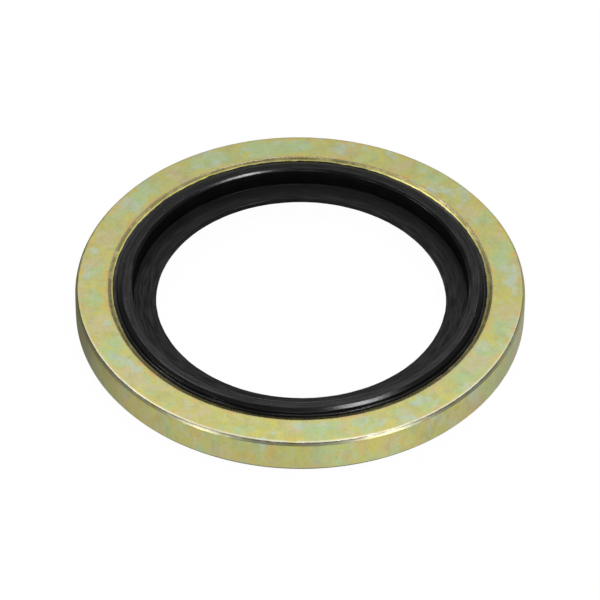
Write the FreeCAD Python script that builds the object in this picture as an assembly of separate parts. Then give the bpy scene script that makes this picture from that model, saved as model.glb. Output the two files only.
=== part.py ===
import FreeCAD, Part

import math
import os

# Self-centring bonded sealing washer for a G 1/2 thread: a flat steel ring with a moulded
# rubber seal bonded in its bore. Both pieces are turned about Z and are the same above and
# below their middle plane, so the washer seals either way up. Sizes are in millimetres.

# Radial sizes, from the thread outwards. They add up to an outside diameter of 28.58.
centring_hole_diameter = 18.44
membrane_width = 1.40
inner_flank_run = 0.08
inner_shoulder_run = 0.18
crest_width = 0.43
outer_shoulder_run = 0.29
outer_flank_run = 0.04
ledge_width = 0.23
ring_width = 2.42

# Axial sizes. The crests stand proud of the ring's faces and are squeezed flush in use.
ring_thickness = 2.33
lip_height = 0.20
inner_shoulder_drop = 0.09
outer_shoulder_drop = 0.15
membrane_thickness = 0.36

# The ring's edges: the rim is rounded by tumbling and the bore is bevelled by its punch.
rim_radius = 0.28
bevel_width = 0.33
bevel_depth = 0.11

# Radii where the section turns, worked out from the sizes above.
hole_radius = centring_hole_diameter / 2
root_circle = hole_radius + membrane_width
inner_shoulder_circle = root_circle + inner_flank_run
crest_inner_circle = inner_shoulder_circle + inner_shoulder_run
crest_outer_circle = crest_inner_circle + crest_width
outer_shoulder_circle = crest_outer_circle + outer_shoulder_run
foot_circle = outer_shoulder_circle + outer_flank_run
bond_circle = foot_circle + ledge_width
rim_circle = bond_circle + ring_width

# Heights above the middle plane. The origin is level with the lower crest.
ring_face = ring_thickness / 2
bond_edge = ring_face - bevel_depth
crest_face = ring_face + lip_height
membrane_face = membrane_thickness / 2
middle_plane = crest_face

# A rounded corner leaves at least this share of the shorter side beside it straight.
straight_share = 0.1


def corner_arc(before, corner, after, radius):
    """Tangent points of a rounded corner, and the arc's own middle point."""
    to_before = (before - corner).normalize()
    to_after = (after - corner).normalize()
    half_turn = to_before.getAngle(to_after) / 2
    shorter_side = min(before.distanceToPoint(corner), after.distanceToPoint(corner))
    reach = min(radius / math.tan(half_turn), shorter_side * (1 - straight_share) / 2)
    fitted_radius = reach * math.tan(half_turn)
    inward = (to_before + to_after).normalize()
    nearest = corner + inward * (fitted_radius / math.sin(half_turn) - fitted_radius)
    return corner + to_before * reach, nearest, corner + to_after * reach


def turned_ring(half_section):
    """Solid of revolution from the upper half of a section, mirrored in the middle plane.

    Each corner is (distance from the axis, height above the middle plane, corner radius).
    """
    corners = half_section + [(r, -z, radius) for r, z, radius in reversed(half_section)]
    points = [FreeCAD.Vector(r, 0, middle_plane + z) for r, z, radius in corners]
    count = len(corners)
    bends = [
        corner_arc(points[i - 1], points[i], points[(i + 1) % count], corners[i][2])
        for i in range(count)
    ]
    edges = []
    for i in range(count):
        arrive, nearest, leave = bends[i]
        if corners[i][2] > 0:
            edges.append(Part.Arc(arrive, nearest, leave).toShape())
        edges.append(Part.LineSegment(leave, bends[(i + 1) % count][0]).toShape())
    section = Part.Face(Part.Wire(edges))
    return section.revolve(FreeCAD.Vector(0, 0, 0), FreeCAD.Vector(0, 0, 1), 360)


def steel_ring():
    """Stamped flat ring with a rounded rim and a shallow bevel on each side of its bore."""
    return turned_ring([
        (bond_circle, bond_edge, 0),
        (bond_circle + bevel_width, ring_face, 0),
        (rim_circle, ring_face, rim_radius),
    ])


def rubber_seal():
    """One moulding: a ledge at the bevel, a lip with two shoulders, and a thin membrane."""
    return turned_ring([
        (hole_radius, membrane_face, 0),
        (root_circle, membrane_face, 0),
        (inner_shoulder_circle, crest_face - inner_shoulder_drop, 0),
        (crest_inner_circle, crest_face, 0),
        (crest_outer_circle, crest_face, 0),
        (outer_shoulder_circle, crest_face - outer_shoulder_drop, 0),
        (foot_circle, bond_edge, 0),
        (bond_circle, bond_edge, 0),
    ])


os.makedirs("parts", exist_ok=True)
for node, shape in {"steel_ring": steel_ring(), "rubber_seal": rubber_seal()}.items():
    shape.exportStep("parts/" + node + ".step")
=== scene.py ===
import math

import bpy
import numpy as np
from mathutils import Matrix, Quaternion, Vector


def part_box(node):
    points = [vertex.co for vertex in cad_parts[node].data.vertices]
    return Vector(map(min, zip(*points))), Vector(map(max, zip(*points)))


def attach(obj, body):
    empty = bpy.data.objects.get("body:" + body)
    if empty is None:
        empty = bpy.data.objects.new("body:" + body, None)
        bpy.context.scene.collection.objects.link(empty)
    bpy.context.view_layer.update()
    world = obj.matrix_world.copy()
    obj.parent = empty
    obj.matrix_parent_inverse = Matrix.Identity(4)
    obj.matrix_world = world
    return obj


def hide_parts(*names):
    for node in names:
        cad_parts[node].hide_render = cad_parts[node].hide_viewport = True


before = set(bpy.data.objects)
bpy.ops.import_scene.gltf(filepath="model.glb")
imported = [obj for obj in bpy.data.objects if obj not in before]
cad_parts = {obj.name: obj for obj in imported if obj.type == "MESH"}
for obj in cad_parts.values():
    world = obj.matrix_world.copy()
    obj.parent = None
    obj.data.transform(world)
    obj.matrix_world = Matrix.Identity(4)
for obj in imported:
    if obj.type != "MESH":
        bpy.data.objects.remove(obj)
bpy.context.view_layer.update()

# Steel ring
# The washer's body, stamped from steel strip with a stepped bevel left round both ends of its
# bore. Tumbling broke its rim into small facets and nicked it at the front left. It is zinc
# plated with a yellow passivation, in soft patches of olive, sage and straw.

mm = 0.001
ring_low, ring_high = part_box("steel_ring")
_, seal_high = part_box("rubber_seal")
rim_circle = ring_high.x
bond_circle = seal_high.x
ring_middle = (ring_low.z + ring_high.z) / 2
ring_face = ring_high.z - ring_middle
hair = 0.001 * mm

bevel_width = 0.33 * mm
bevel_depth = 0.11 * mm
bevel_step = 0.02 * mm
step_rounding = 0.02 * mm
rim_depth = 0.30 * mm
rim_facets = np.array([(0.22, 0.00), (0.15, 0.012), (0.02, 0.21), (0.00, 0.32)]) * mm
facet_rounding = 0.04 * mm
rim_reach = 0.22 * mm
barrel = 0.01 * mm
ring_guard = 0.012 * mm
ring_angles = 640

rim_dings = 60
rim_ding_depth = 0.022 * mm
rim_ding_slant = 0.8
rim_unevenness = 0.15
nicked_degrees = 256
nicked_spread_degrees = 16
nicked_elsewhere = 0.25
bevel_unevenness = 0.02 * mm
bevel_blend = 0.1 * mm
face_waviness = 0.004 * mm
zinc_relief = 0.004 * mm


def section_line(half, guard):
    """Closed section outline as an array of (radius, height), from its upper half.

    The lower half is the upper one with its heights turned negative and its order reversed.
    Each corner is (radius, height, rounding, arc points, points on the run that follows).
    A rounded corner's points lie on the arc between its tangent points: centre plus rounding
    times the cosine and sine of an angle that goes evenly from one tangent to the other. A run
    has a point at the guard distance from each end, so that smooth shading stays flat on it.
    """
    corners = [(radius, -height, *rest) for radius, height, *rest in reversed(half)] + half
    spots = np.array([corner[:2] for corner in corners])
    pieces = []
    for i, (_, _, rounding, arc_points, run_points) in enumerate(corners):
        here, before = spots[i], spots[i - 1]
        after, beyond = spots[(i + 1) % len(spots)], spots[(i + 2) % len(spots)]
        arrive, leave, arc = rounded_corner(before, here, after, rounding, arc_points)
        next_rounding = corners[(i + 1) % len(corners)][2]
        run_end = rounded_corner(here, after, beyond, next_rounding, 1)[0]
        length = np.linalg.norm(run_end - leave)
        inner = np.linspace(guard / length, 1 - guard / length, run_points)
        pieces.append(arc)
        pieces.append(leave + inner[:, None] * (run_end - leave))
    return np.concatenate(pieces)


def rounded_corner(before, here, after, rounding, arc_points):
    """Both tangent points of a rounded corner, and the points of its arc."""
    back = (before - here) / np.linalg.norm(before - here)
    ahead = (after - here) / np.linalg.norm(after - here)
    half_angle = math.acos(np.clip(back @ ahead, -1, 1)) / 2
    if rounding == 0:
        return here, here, here[None, :]
    reach = rounding / math.tan(half_angle)
    arrive, leave = here + back * reach, here + ahead * reach
    centre = here + (back + ahead) / np.linalg.norm(back + ahead) * rounding / math.sin(half_angle)
    first, last = (arrive - centre) / rounding, (leave - centre) / rounding
    turn = math.pi - 2 * half_angle
    share = np.linspace(0, 1, arc_points)[:, None]
    spread = (np.sin((1 - share) * turn) * first + np.sin(share * turn) * last) / math.sin(turn)
    return arrive, leave, centre + spread * rounding


def wander(angles, slowest, fastest, seed):
    """Smooth random line round the ring, about 1 high.

    It is a sum of cosines of whole multiples of the angle, from slowest to fastest, each with
    a random start and a weight that falls as one over the square root of its multiple.
    """
    draw = np.random.default_rng(seed)
    multiples = np.arange(slowest, fastest + 1)
    starts = draw.uniform(0, 2 * math.pi, len(multiples))
    weights = draw.normal(0, 1, len(multiples)) / np.sqrt(multiples)
    line = (weights[:, None] * np.cos(multiples[:, None] * angles + starts[:, None])).sum(0)
    return line / np.abs(line).max()


def bell(value, middle, spread):
    """1 at the middle, falling as e to the minus square of the distance over the spread."""
    return np.exp(-((value - middle) / spread) ** 2)


def dings(angles, count, narrowest, widest, seed):
    """Row of small dents round an edge: a sum of bell curves at random angles, up to about 1."""
    draw = np.random.default_rng(seed)
    places = draw.uniform(0, 2 * math.pi, count)[:, None]
    widths = np.radians(draw.uniform(narrowest, widest, count))[:, None]
    depths = draw.uniform(0.2, 1.0, count)[:, None] ** 2
    gaps = np.angle(np.exp(1j * (angles - places)))
    return (depths * bell(gaps, 0, widths)).sum(0)


def turned_piece(name, radius, height, angles, marks):
    """Mesh of a closed ring surface from grids of radius and height.

    Grid row j is at angle j and grid column i is at section point i, and the point there is
    (radius times cosine, radius times sine, height). Both directions close on themselves.
    Marks are further grids that are kept with the points for the piece's finish.
    """
    around, along = radius.shape
    points = np.stack([
        radius * np.cos(angles)[:, None],
        radius * np.sin(angles)[:, None],
        height,
    ], axis=-1).reshape(-1, 3)
    j, i = np.meshgrid(np.arange(around), np.arange(along), indexing="ij")
    j_next, i_next = (j + 1) % around, (i + 1) % along
    faces = np.stack([
        j * along + i, j_next * along + i, j_next * along + i_next, j * along + i_next,
    ], axis=-1).reshape(-1, 4)
    mesh = bpy.data.meshes.new(name)
    mesh.from_pydata(points, [], faces)
    mesh.polygons.foreach_set("use_smooth", np.ones(len(faces), bool))
    for mark, values in marks.items():
        kept = mesh.attributes.new(mark, "FLOAT", "POINT")
        kept.data.foreach_set("value", np.broadcast_to(values, radius.shape).ravel())
    mesh.update()
    piece = bpy.data.objects.new(name, mesh)
    bpy.context.scene.collection.objects.link(piece)
    return piece


class Signal:
    """One socket of a finish's node tree. A sum written with it adds the Math nodes it needs."""

    def __init__(self, tree, socket=None):
        self.tree = tree
        self.socket = socket

    def node(self, kind, settings, inputs, output=0):
        """Adds a node: its settings first, then the values or links of its sockets."""
        made = self.tree.nodes.new(kind)
        for name, value in settings.items():
            setattr(made, name, value)
        for key, value in inputs.items():
            if isinstance(value, Signal):
                self.tree.links.new(value.socket, made.inputs[key])
            else:
                made.inputs[key].default_value = value
        return Signal(self.tree, made.outputs[output] if made.outputs else None)

    def maths(self, operation, *values):
        """One Math node of the values given, numbers or signals."""
        return self.node("ShaderNodeMath", {"operation": operation}, dict(enumerate(values)))

    def __add__(self, other):
        return self.maths("ADD", self, other)

    def __sub__(self, other):
        return self.maths("SUBTRACT", self, other)

    def __rsub__(self, other):
        return self.maths("SUBTRACT", other, self)

    def __mul__(self, other):
        return self.maths("MULTIPLY", self, other)

    __radd__ = __add__
    __rmul__ = __mul__

    def rise(self, low, high):
        """Smooth step: 0 below low, 1 above high."""
        return self.node(
            "ShaderNodeMapRange",
            {"interpolation_type": "SMOOTHSTEP"},
            {"Value": self, "From Min": low, "From Max": high},
        )

    def tint(self, under, over):
        """Colour under where this signal is 0, and colour over where it is 1."""
        return self.node(
            "ShaderNodeMix", {"data_type": "RGBA"}, {0: self, 6: under, 7: over}, output=2
        )

    def along(self, direction):
        """How far a place lies along a direction: their dot product."""
        return self.node(
            "ShaderNodeVectorMath", {"operation": "DOT_PRODUCT"}, {0: self, 1: direction}, "Value"
        )

    def stretch(self, factors):
        """A place with its parts multiplied by the three factors."""
        return self.node("ShaderNodeVectorMath", {"operation": "MULTIPLY"}, {0: self, 1: factors})

    def cloud(self, scale, detail, seed):
        """Soft random patches, about 0.5 in the middle, scale of them to each unit of place."""
        return self.node(
            "ShaderNodeTexNoise",
            {"noise_dimensions": "4D"},
            {"Vector": self, "W": seed, "Scale": scale, "Detail": detail},
        )


def finish_tree(name):
    """A new material, its bare tree as a signal, the place in mm, and a reader of marks."""
    material = bpy.data.materials.new(name)
    material.use_nodes = True
    material.node_tree.nodes.clear()
    bare = Signal(material.node_tree)
    place = bare.node("ShaderNodeTexCoord", {}, {}, output="Object").stretch((1000,) * 3)

    def mark(attribute):
        """One of the grids that turned_piece keeps with a piece's points."""
        return bare.node("ShaderNodeAttribute", {"attribute_name": attribute}, {}, output="Fac")

    return material, bare, place, mark


def round_the_ring(bare, place, across, waves, lines):
    """A place that changes slowly round the ring and quickly across it, for turned streaks."""
    flat = place.stretch((1, 1, 0))
    bearing = flat.node("ShaderNodeVectorMath", {"operation": "NORMALIZE"}, {0: flat})
    step = bare.node("ShaderNodeCombineXYZ", {}, {"Z": across * lines})
    return bare.node(
        "ShaderNodeVectorMath",
        {"operation": "ADD"},
        {0: bearing.stretch((waves, waves, 0)), 1: step},
    )


def surface(bare, relief, depth, sockets):
    """Ends a finish: one shader with these sockets, over a bump of the relief times the depth."""
    bump = bare.node("ShaderNodeBump", {}, {"Strength": 1.0, "Distance": depth, "Height": relief})
    shader = bare.node("ShaderNodeBsdfPrincipled", {}, {**sockets, "Normal": bump})
    bare.node("ShaderNodeOutputMaterial", {}, {"Surface": shader})


def screen(red, green, blue):
    """Linear colour of a screen colour given in parts of 255."""
    parts = np.array([red, green, blue]) / 255
    linear = np.where(parts < 0.04045, parts / 12.92, ((parts + 0.055) / 1.055) ** 2.4)
    return (*linear, 1.0)


def passivated_zinc():
    """Satin zinc under an iridescent yellow film whose tint drifts in patches of 1 to 3 mm."""
    olive = screen(188, 187, 117)
    sage = screen(175, 195, 142)
    frost = screen(184, 198, 176)
    blush = screen(199, 183, 147)
    straw = screen(200, 193, 106)
    amber = screen(212, 172, 100)
    dull = screen(150, 148, 112)
    shade = screen(158, 154, 86)
    painted_dark_line = screen(84, 78, 50)
    mauve = screen(166, 150, 132)
    burr = screen(196, 190, 112)
    worn_zinc_and_highlight = screen(212, 208, 190)

    material, bare, place, mark = finish_tree("passivated_zinc")
    edge = mark("edge")
    bevel = mark("bevel")
    step = mark("step")
    burred = mark("burred")
    rim_dark_line = mark("rim_dark_line")
    bottom_edge_shade = mark("bottom_edge_shade")
    wear_and_highlight = mark("wear_and_highlight")
    across = mark("across")
    streaks = round_the_ring(bare, place, across, 9, 14).cloud(1, 1, 2.0)

    place = place.stretch((1, 1, 0.6))
    film = place.cloud(0.45, 7, 1.0).rise(0.46, 0.56).tint(olive, sage)
    film = (place.cloud(0.55, 7, 5.0).rise(0.51, 0.60) * 0.7).tint(film, blush)
    film = (place.cloud(0.70, 7, 9.0).rise(0.54, 0.63) * 0.9).tint(film, frost)
    film = (place.cloud(0.90, 6, 14.0).rise(0.54, 0.64) * 0.8).tint(film, straw)
    film = (edge * place.cloud(0.9, 5, 17.0).rise(0.36, 0.54) * 0.85).tint(film, straw)
    film = (edge * place.cloud(1.3, 5, 21.0).rise(0.50, 0.60) * 0.9).tint(film, amber)
    tarnish = place.cloud(1.4, 7, 23.0).rise(0.46, 0.68) * 0.28
    specks = place.cloud(6.0, 3, 25.0).rise(0.56, 0.68) * 0.4
    film = tarnish.maths("MAXIMUM", tarnish, specks).tint(film, dull)
    film = (place.cloud(5.0, 3, 26.0).rise(0.50, 0.64) * 0.35).tint(film, frost)
    film = (place.cloud(4.5, 3, 28.0).rise(0.50, 0.64) * 0.40).tint(film, straw)
    # Partly painted shade, partly the bevel's own duller plating: the bevel is tinted a darker
    # olive.
    film = bevel.tint(film, shade)
    film = (bevel * (1 - streaks).rise(0.46, 0.60) * 0.45).tint(film, mauve)
    film = (step * 0.7).tint(film, mauve)
    film = (burred * place.cloud(1.2, 2, 19.0).rise(0.40, 0.60) * 0.8).tint(film, burr)
    # Partly real wear and partly painted highlight: pale zinc in the rim's dents, and over the
    # upper rim of the front half, where the highlights fall.
    film = (wear_and_highlight * place.cloud(1.2, 3, 27.0).rise(0.20, 0.50)).tint(film, worn_zinc_and_highlight)
    # Painted shade: a dark line painted round the rim just below each face, in place of the rim's
    # dark reflection.
    film = (rim_dark_line * place.cloud(1.5, 4, 29.0).rise(0.30, 0.55) * 0.8).tint(film, painted_dark_line)
    # Painted shade: the wall's bottom edge painted dark, in place of the dark gap under the ring
    # that it mirrors.
    film = (bottom_edge_shade * place.cloud(1.1, 3, 31.0).rise(0.20, 0.45) * 0.8).tint(film, painted_dark_line)

    grain = place.cloud(5.5, 4, 30.0)
    one_way = place.stretch((0.25, 7.0, 1.0)).cloud(1, 2, 33.0).rise(0.67, 0.73)
    other_way = place.stretch((5.0, 0.3, 1.0)).cloud(1, 2, 37.0).rise(0.68, 0.74)
    scratches = one_way + other_way
    relief = (grain * 0.5 - scratches * 0.35) * (1 - bevel) + bevel * streaks * 0.15
    roughness = 0.30 + grain * 0.10 + scratches * 0.06 - bevel * 0.08
    surface(bare, relief, zinc_relief, {
        "Base Color": film,
        "Metallic": 1.0,
        "Roughness": roughness,
    })
    return material


ring_turn = np.arange(ring_angles) * 2 * math.pi / ring_angles
ring_half = [
    (rim_circle - inward, ring_face - drop, facet_rounding, 4, run)
    for (inward, drop), run in zip(rim_facets[::-1], (5, 5, 5, 20))
]
ring_half += [
    (bond_circle + bevel_width, ring_face, step_rounding, 4, 2),
    (bond_circle + bevel_width - bevel_step, ring_face - bevel_step, step_rounding, 4, 12),
    (bond_circle, ring_face - bevel_depth, 0, 1, 2),
]
ring_r, ring_z = section_line(ring_half, ring_guard).T
below_face = ring_face - np.abs(ring_z)
rim_share = bell(ring_r, rim_circle, rim_reach) * (below_face < 2 * rim_depth)
upper_rim = (ring_r > rim_circle - 0.9 * rim_depth) * (ring_z > ring_face - 0.6 * rim_depth)
face_share = (below_face < hair) * 1.0
upper_share = (ring_z > 0) * 1.0

dents = np.where(
    upper_share > 0,
    dings(ring_turn, rim_dings, 0.2, 0.9, 3)[:, None],
    dings(ring_turn, rim_dings, 0.2, 0.9, 4)[:, None],
)
bearing_degrees = np.degrees(ring_turn)[:, None]
nicked_share = bell(bearing_degrees, nicked_degrees, nicked_spread_degrees)
nicked = nicked_elsewhere + (1 - nicked_elsewhere) * nicked_share
rim_wander = rim_unevenness * (1 + wander(ring_turn, 3, 30, 5)[:, None])
inset = rim_share * (dents * nicked + rim_wander) * rim_ding_depth
bevel_wander = bevel_unevenness * wander(ring_turn, 2, 40, 6)[:, None]
bevel_share = bell(ring_r, bond_circle + bevel_width, bevel_blend)
face_wander = face_waviness * (1 + wander(ring_turn, 1, 9, 7)[:, None]) / 2
ring_radius = (
    ring_r
    - inset
    - barrel * (ring_z / ring_face) ** 2 * (ring_r > rim_circle - rim_depth)
    + bevel_share * bevel_wander
)
ring_height = (
    ring_middle
    + ring_z
    - np.sign(ring_z) * inset * rim_ding_slant
    - face_share * upper_share * face_wander
)

# Marks for the finish, by the distance in mm from the rim, the bore, the upper or lower face.
# Painted highlight: the rim's pale tint is laid on the front half of the ring only, where its
# highlights fall.
front_highlight_half = np.clip(-1.6 * np.sin(ring_turn), 0, 1)[:, None]
to_rim = (rim_circle - ring_r) / mm
to_bore = (ring_r - bond_circle) / mm
to_face = below_face / mm
to_lower_face = (ring_face + ring_z) / mm
steel_ring = turned_piece("steel_ring_plated", ring_radius, ring_height, ring_turn, {
    "across": (ring_r + np.abs(ring_z)) / mm,
    "edge": bell(to_rim, 0, 0.45) * (0.45 + 0.55 * face_share) + bell(to_bore, 0.35, 0.28),
    "bevel": (to_bore < 0.32) * 1.0,
    "step": bell(to_bore, 0.31, 0.055),
    # Painted shade: a dark line just below each face, and the dark bottom edge of the wall.
    "rim_dark_line": bell(to_face, 0.050, 0.030),
    "bottom_edge_shade": bell(to_lower_face, 0.08, 0.07),
    "burred": bell(to_bore, 0.07, 0.035),
    "wear_and_highlight": np.clip(0.6 + 0.7 * inset / rim_ding_depth, 0, 1) * upper_rim * front_highlight_half,
})
steel_ring.data.materials.append(passivated_zinc())
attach(steel_ring, "root")
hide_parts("steel_ring")

# Rubber seal
# One black nitrile moulding, bonded in the ring's bore: a lip on each side whose crest stands
# proud of the steel, and a thin membrane half way up that grips and centres on the thread.
# The mould leaves fine rings on it, and a ragged film of flash where it meets the bevel.

membrane_half = 0.18 * mm
hole_circle = 9.22 * mm
root_circle = 10.62 * mm
inner_shoulder_circle = 10.70 * mm
crest_inner_circle = 10.88 * mm
crest_outer_circle = 11.31 * mm
outer_shoulder_circle = 11.60 * mm
foot_circle = 11.64 * mm
crest_face = seal_high.z - ring_middle
bond_edge = ring_face - bevel_depth

hole_rounding = 0.05 * mm
root_rounding = 0.08 * mm
inner_shoulder_drop = 0.09 * mm
outer_shoulder_drop = 0.137 * mm
shoulder_rounding = 0.07 * mm
crest_rounding = 0.30 * mm
lip_rounding = 0.10 * mm
foot_rounding = 0.10 * mm
foot_sink = 0.06 * mm
seal_guard = 0.015 * mm
seal_angles = 640

hole_offset = 0.06 * mm
hole_unevenness = 0.012 * mm
hole_blend = 0.3 * mm
flash_root = 0.02 * mm
flash_thickness = 0.012 * mm
flash_reach = 0.08 * mm
rubber_relief = 0.014 * mm


def black_rubber():
    """Black moulded rubber: faint turned rings, a fine grain, a dull bloom and a little dust, with
    a painted sheen of lighter grey on the membrane.
    """
    black = screen(7, 7, 8)
    bloom = screen(24, 24, 25)
    membrane_sheen_grey = screen(32, 32, 33)
    dust = screen(150, 148, 140)

    material, bare, place, mark = finish_tree("black_rubber")
    across = mark("across")
    dusty = mark("dusty")
    web = mark("web")
    flank = mark("flank")
    rings = round_the_ring(bare, place, across, 7, 11).cloud(1, 4, 41.0)
    patches = place.cloud(1.1, 4, 45.0)
    tone = (rings.rise(0.40, 0.70) * 0.7 + patches.rise(0.45, 0.75) * 0.3).tint(black, bloom)
    # Painted sheen: the membrane is painted a lighter grey in place of the light it shows.
    tone = (web * (0.5 + rings.rise(0.35, 0.65) * 0.5)).tint(tone, membrane_sheen_grey)
    motes = place.cloud(8.0, 3, 49.0).rise(0.67, 0.76) * dusty * 0.7
    tone = motes.tint(tone, dust)
    grain = place.cloud(11.0, 3, 53.0)
    relief = (rings * 0.6 + grain * 0.35) * (1 - web * 0.6)
    roughness = 0.40 + patches * 0.20 + motes * 0.3
    sheen = 0.24 + rings.rise(0.30, 0.70) * 0.30 + patches * 0.1 - web * 0.32 - motes * 0.3
    sheen = sheen * (1 - flank * 0.85) * (0.7 + grain.rise(0.3, 0.7) * 0.6)
    surface(bare, relief, rubber_relief, {
        "Base Color": tone,
        "Metallic": 0.0,
        "Roughness": roughness,
        "Specular IOR Level": 0.05,
        "Coat Weight": sheen,
        "Coat Roughness": 0.17,
    })
    return material


seal_turn = np.arange(seal_angles) * 2 * math.pi / seal_angles
bevel_slope = bevel_depth / bevel_width
seal_half = [
    (bond_circle, bond_edge - flash_root, 0, 1, 2),
    (bond_circle + hair, bond_edge + flash_thickness, 0, 1, 4),
    (foot_circle, bond_edge - foot_sink, foot_rounding, 5, 5),
    (outer_shoulder_circle, crest_face - outer_shoulder_drop, shoulder_rounding, 5, 3),
    (crest_outer_circle, crest_face, crest_rounding, 5, 6),
    (crest_inner_circle, crest_face, lip_rounding, 5, 3),
    (inner_shoulder_circle, crest_face - inner_shoulder_drop, shoulder_rounding, 5, 6),
    (root_circle, membrane_half, root_rounding, 6, 7),
    (hole_circle, membrane_half, hole_rounding, 5, 3),
]
seal_r, seal_z = section_line(seal_half, seal_guard).T
flash_share = np.clip((seal_r - foot_circle) / (bond_circle - foot_circle), 0, 1)
flash_share = flash_share * (np.abs(seal_z) > bond_edge - hair)
flash = flash_reach * np.clip(0.35 + 0.65 * wander(seal_turn, 5, 120, 11), 0, 1)[:, None]
hole_share = bell(seal_r, hole_circle, hole_blend)
hole_wander = hole_unevenness * wander(seal_turn, 2, 90, 12)[:, None]
off_centre = hole_offset * (bond_circle - seal_r) / (bond_circle - hole_circle)
seal_radius = (
    seal_r
    + off_centre * np.cos(seal_turn)[:, None]
    + flash_share * flash
    + hole_share * hole_wander
)
seal_height = ring_middle + seal_z + np.sign(seal_z) * flash_share * flash * bevel_slope
rubber_seal = turned_piece("rubber_seal_moulded", seal_radius, seal_height, seal_turn, {
    "across": (seal_r - np.abs(seal_z) * 1.3) / mm,
    "web": (seal_r < root_circle) * 1.0,
    "flank": (seal_r > root_circle - root_rounding) * (seal_r < inner_shoulder_circle) * 1.0,
    "dusty": bell(seal_r / mm, crest_outer_circle / mm, 0.35),
})
rubber_seal.data.materials.append(black_rubber())
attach(rubber_seal, "root")
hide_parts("rubber_seal")

# Floor
# A white surface that the washer lies on, which isn't part of the object. The camera sees it
# plain white. The plating mirrors it with painted light and shade: painted pools of light in
# front, to the front right and inside the bore, and painted shade to the left. It is dark under
# the ring, where the washer keeps the light off it.

floor_reach = 1.5
floor_gap = 0.004 * mm
shade_outer = 14.20 * mm
shade_outer_fade = 0.16 * mm
shade_inner = 11.0 * mm
shade_inner_fade = 0.4 * mm
shade_hidden = 0.40 * mm
white = (1, 1, 1, 1)
painted_left_shade = (0.15, 0.15, 0.15, 1)
painted_right_grey = (0.58, 0.58, 0.58, 1)
seen_white = 0.98

floor_mesh = bpy.data.meshes.new("floor")
floor_mesh.from_pydata([
    (-floor_reach, -floor_reach, -floor_gap), (floor_reach, -floor_reach, -floor_gap),
    (floor_reach, floor_reach, -floor_gap), (-floor_reach, floor_reach, -floor_gap),
], [], [(0, 1, 2, 3)])
floor = bpy.data.objects.new("floor", floor_mesh)
bpy.context.scene.collection.objects.link(floor)
paper, sheet, _, _ = finish_tree("white_paper")
sight = sheet.node("ShaderNodeLightPath", {}, {}, output="Is Camera Ray")
glossy = sheet.node("ShaderNodeLightPath", {}, {}, output="Is Glossy Ray")
through = sheet.node("ShaderNodeLightPath", {}, {}, output="Is Transmission Ray")
mirrored = glossy.maths("MAXIMUM", glossy, through)
spot = sheet.node("ShaderNodeTexCoord", {}, {}, output="Object")
from_axis = spot.node("ShaderNodeVectorMath", {"operation": "LENGTH"}, {0: spot}, output="Value")
bearing = spot.node("ShaderNodeVectorMath", {"operation": "NORMALIZE"}, {0: spot})

# The camera sees the shade under the ring a little narrower, so that none shows past its edge.
past_ring = (from_axis + sight * shade_hidden).rise(shade_outer, shade_outer + shade_outer_fade)
beneath = (1 - past_ring) * from_axis.rise(shade_inner, shade_inner + shade_inner_fade)
# Painted light: pools of light painted on the floor as the plating mirrors it, in front, to the
# front right and inside the bore.
inside = 1 - from_axis.rise(6 * mm, 10 * mm)
frontward = spot.along((0.05, -1.0, 0.0)).rise(0, 15 * mm)
front_right = bearing.along((0.342, -0.940, 0.0)).rise(0.96, 1.0)
painted_reflection_light = frontward * 0.70 + front_right * 0.40 + inside * 0.6 + 0.05
share = (sight * seen_white + mirrored * painted_reflection_light) * (1 - beneath)
# Painted shade: the floor as mirrored is painted dark grey to the left and lighter grey to the
# right.
page = spot.along((0.86, -0.51, 0.0)).rise(-18 * mm, 9 * mm).tint(painted_left_shade, painted_right_grey)
page = sight.tint(page, white)
plain = sheet.node("ShaderNodeBsdfDiffuse", {}, {"Color": page})
bright = sheet.node("ShaderNodeEmission", {}, {"Color": white, "Strength": 1.0})
blend = sheet.node("ShaderNodeMixShader", {}, {0: share, 1: plain, 2: bright})
sheet.node("ShaderNodeOutputMaterial", {}, {"Surface": blend})
floor.data.materials.append(paper)

# Light
# Soft panels stand round the washer at one distance. A broad one behind and above lights the
# flat face, and a small bright one nearly overhead makes the highlights on the rubber. The
# rest light the wall and rim from the front, both sides and low down, and the bevel at the back.

panel_distance = 0.60
around_grey = (0.12, 0.12, 0.12, 1)


def panel(name, towards, width, height, brightness):
    """Soft light facing the washer, with a given brightness.

    A lamp's energy is four times its area times the brightness that the washer sees.
    """
    lamp = bpy.data.lights.new(name, "AREA")
    lamp.shape = "RECTANGLE"
    lamp.size = width
    lamp.size_y = height
    lamp.energy = 4 * width * height * brightness
    arm = Vector(towards).normalized() * panel_distance
    stand = bpy.data.objects.new(name, lamp)
    bpy.context.scene.collection.objects.link(stand)
    stand.location = Vector((0, 0, ring_high.z)) + arm
    stand.rotation_mode = "QUATERNION"
    stand.rotation_quaternion = (-arm).to_track_quat("-Z", "Y")


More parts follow.
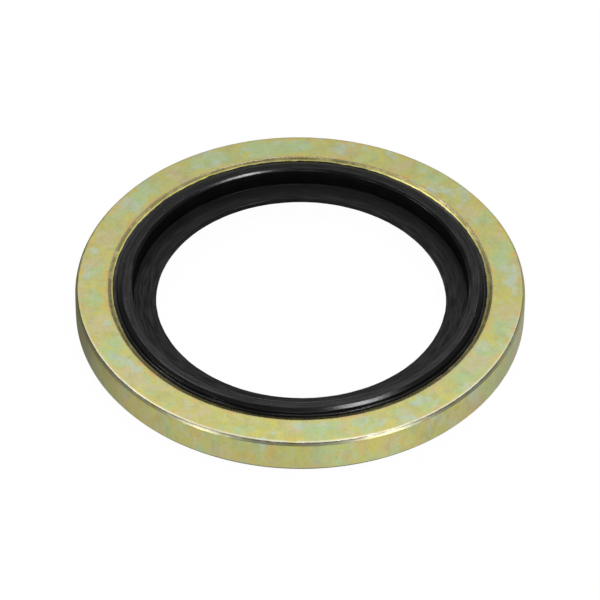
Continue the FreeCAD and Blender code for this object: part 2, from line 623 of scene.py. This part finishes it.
panel("back_panel", (0.0, 0.537, 0.843), 0.60, 0.318, 1.17)
panel("key_panel", (0.27, 0.0, 0.96), 0.115, 0.115, 22.0)
panel("upper_left_panel", (-0.32, 0.38, 0.87), 0.18, 0.16, 2.0)
panel("front_panel", (0.05, -0.60, 0.80), 0.30, 0.12, 5.0)
panel("left_panel", (-0.78, -0.05, 0.62), 0.14, 0.14, 8.0)
panel("low_left_panel", (-0.66, -0.68, 0.33), 0.07, 0.09, 13.0)
panel("low_right_panel", (0.60, -0.71, 0.33), 0.17, 0.09, 8.0)
panel("low_back_panel", (0.0, 0.94, 0.34), 0.90, 0.28, 0.35)
panel("back_right_panel", (0.41, 0.73, 0.55), 0.14, 0.14, 1.2)
panel("back_left_panel", (-0.61, 0.74, 0.10), 0.20, 0.09, 2.0)

world = bpy.data.worlds.new("studio")
bpy.context.scene.world = world
world.use_nodes = True
world.node_tree.nodes.clear()
air = Signal(world.node_tree)
in_view = air.node("ShaderNodeLightPath", {}, {}, output="Is Camera Ray")
dim = air.node("ShaderNodeBackground", {}, {"Color": around_grey, "Strength": 1.0})
backdrop = air.node("ShaderNodeBackground", {}, {"Color": white, "Strength": 1.0})
both = air.node("ShaderNodeMixShader", {}, {0: in_view, 1: dim, 2: backdrop})
air.node("ShaderNodeOutputWorld", {}, {"Surface": both})

# Camera
# A long lens looks down at 43 degrees, a hair off level. It aims a little below the middle of
# the ring's upper face, which puts the washer just above the middle of the picture.

picture = 600
sensor_width = 36
camera_height_angle = math.radians(43.23)
camera_roll = math.radians(0.464)
camera_distance = 300 * mm
pixels_per_mm = 15.754
face_centre_pixel = (300.1, 284.53)

camera = bpy.data.cameras.new("camera")
camera.sensor_width = sensor_width
camera.lens = sensor_width * pixels_per_mm / mm * camera_distance / picture
camera.clip_start = 0.01
camera.clip_end = 10
viewer = bpy.data.objects.new("camera", camera)
bpy.context.scene.collection.objects.link(viewer)
sideways = np.array([1.0, 0.0, 0.0])
upward = np.array([0.0, math.sin(camera_height_angle), math.cos(camera_height_angle)])
toward = np.array([0.0, -math.cos(camera_height_angle), math.sin(camera_height_angle)])
aim_right = (picture / 2 - face_centre_pixel[0]) / pixels_per_mm * mm
aim_up = (face_centre_pixel[1] - picture / 2) / pixels_per_mm * mm
face_centre = np.array([0.0, 0.0, ring_high.z])
aim = face_centre + sideways * aim_right + upward * aim_up
eye = face_centre + toward * camera_distance
look = Vector(aim - eye)
viewer.location = eye
viewer.rotation_mode = "QUATERNION"
level = look.to_track_quat("-Z", "Y")
viewer.rotation_quaternion = level @ Quaternion((0, 0, 1), camera_roll)
bpy.context.scene.camera = viewer
bpy.context.scene.view_settings.view_transform = "Standard"
